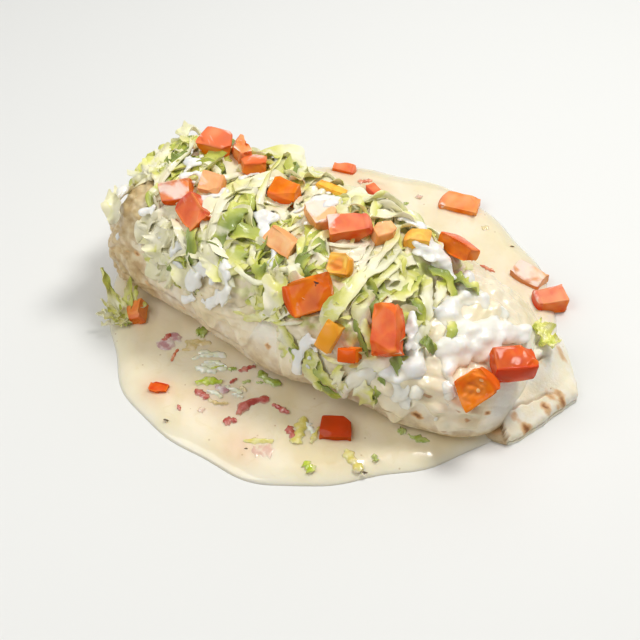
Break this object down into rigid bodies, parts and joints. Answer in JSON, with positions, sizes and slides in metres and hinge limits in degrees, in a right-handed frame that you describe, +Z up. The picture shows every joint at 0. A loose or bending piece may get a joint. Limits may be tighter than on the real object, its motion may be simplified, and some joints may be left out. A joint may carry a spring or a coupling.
{
  "type": "burrito",
  "caption": "Wrapped flour tortilla roll in a pool of cheese sauce, topped with shredded lettuce, diced tomato and sour cream.",
  "frame": {"origin": "on the flat underside of the roll, below its middle", "axes": "+X along the roll towards its flattened tail, +Y towards its back, +Z up"},
  "size_m": [0.2057, 0.1939, 0.0658],
  "materials": {
    "tortilla": "soft cooked flour tortilla, matte with toasted spots",
    "cheese_sauce": "glossy poured cheese sauce",
    "lettuce": "moist shredded lettuce, satin",
    "sour_cream": "soft glossy sour cream",
    "tomato_red": "wet cut tomato",
    "tomato_orange": "wet cut tomato, orange-red",
    "tomato_pale": "cut tomato under a film of cream",
    "tomato_amber": "wet cut yellow tomato"
  },
  "bodies": {
    "root": {"tortilla": "tortilla", "sauce_front": "cheese_sauce", "sauce_back": "cheese_sauce", "lettuce": "lettuce", "lettuce_tuft": "lettuce", "lettuce_strand_1": "lettuce", "lettuce_strand_2": "lettuce", "lettuce_strand_3": "lettuce", "lettuce_strand_4": "lettuce", "lettuce_strand_5": "lettuce", "sour_cream": "sour_cream", "cream_drip": "sour_cream", "tomato_01": "tomato_orange", "tomato_02": "tomato_orange", "tomato_03": "tomato_orange", "tomato_04": "tomato_pale", "tomato_05": "tomato_orange", "tomato_06": "tomato_red", "tomato_07": "tomato_orange", "tomato_08": "tomato_pale", "tomato_09": "tomato_pale", "tomato_10": "tomato_red", "tomato_11": "tomato_pale", "tomato_12": "tomato_amber", "tomato_13": "tomato_orange", "tomato_14": "tomato_red", "tomato_15": "tomato_amber", "tomato_16": "tomato_orange", "tomato_17": "tomato_orange", "tomato_18": "tomato_red", "tomato_19": "tomato_orange", "tomato_20": "tomato_amber", "tomato_21": "tomato_amber", "tomato_22": "tomato_red", "tomato_23": "tomato_orange", "tomato_24": "tomato_red", "tomato_25": "tomato_orange", "tomato_26": "tomato_pale", "tomato_27": "tomato_red", "tomato_28": "tomato_red", "tomato_29": "tomato_red", "lettuce_frill": "lettuce"}
  },
  "joints": []
}
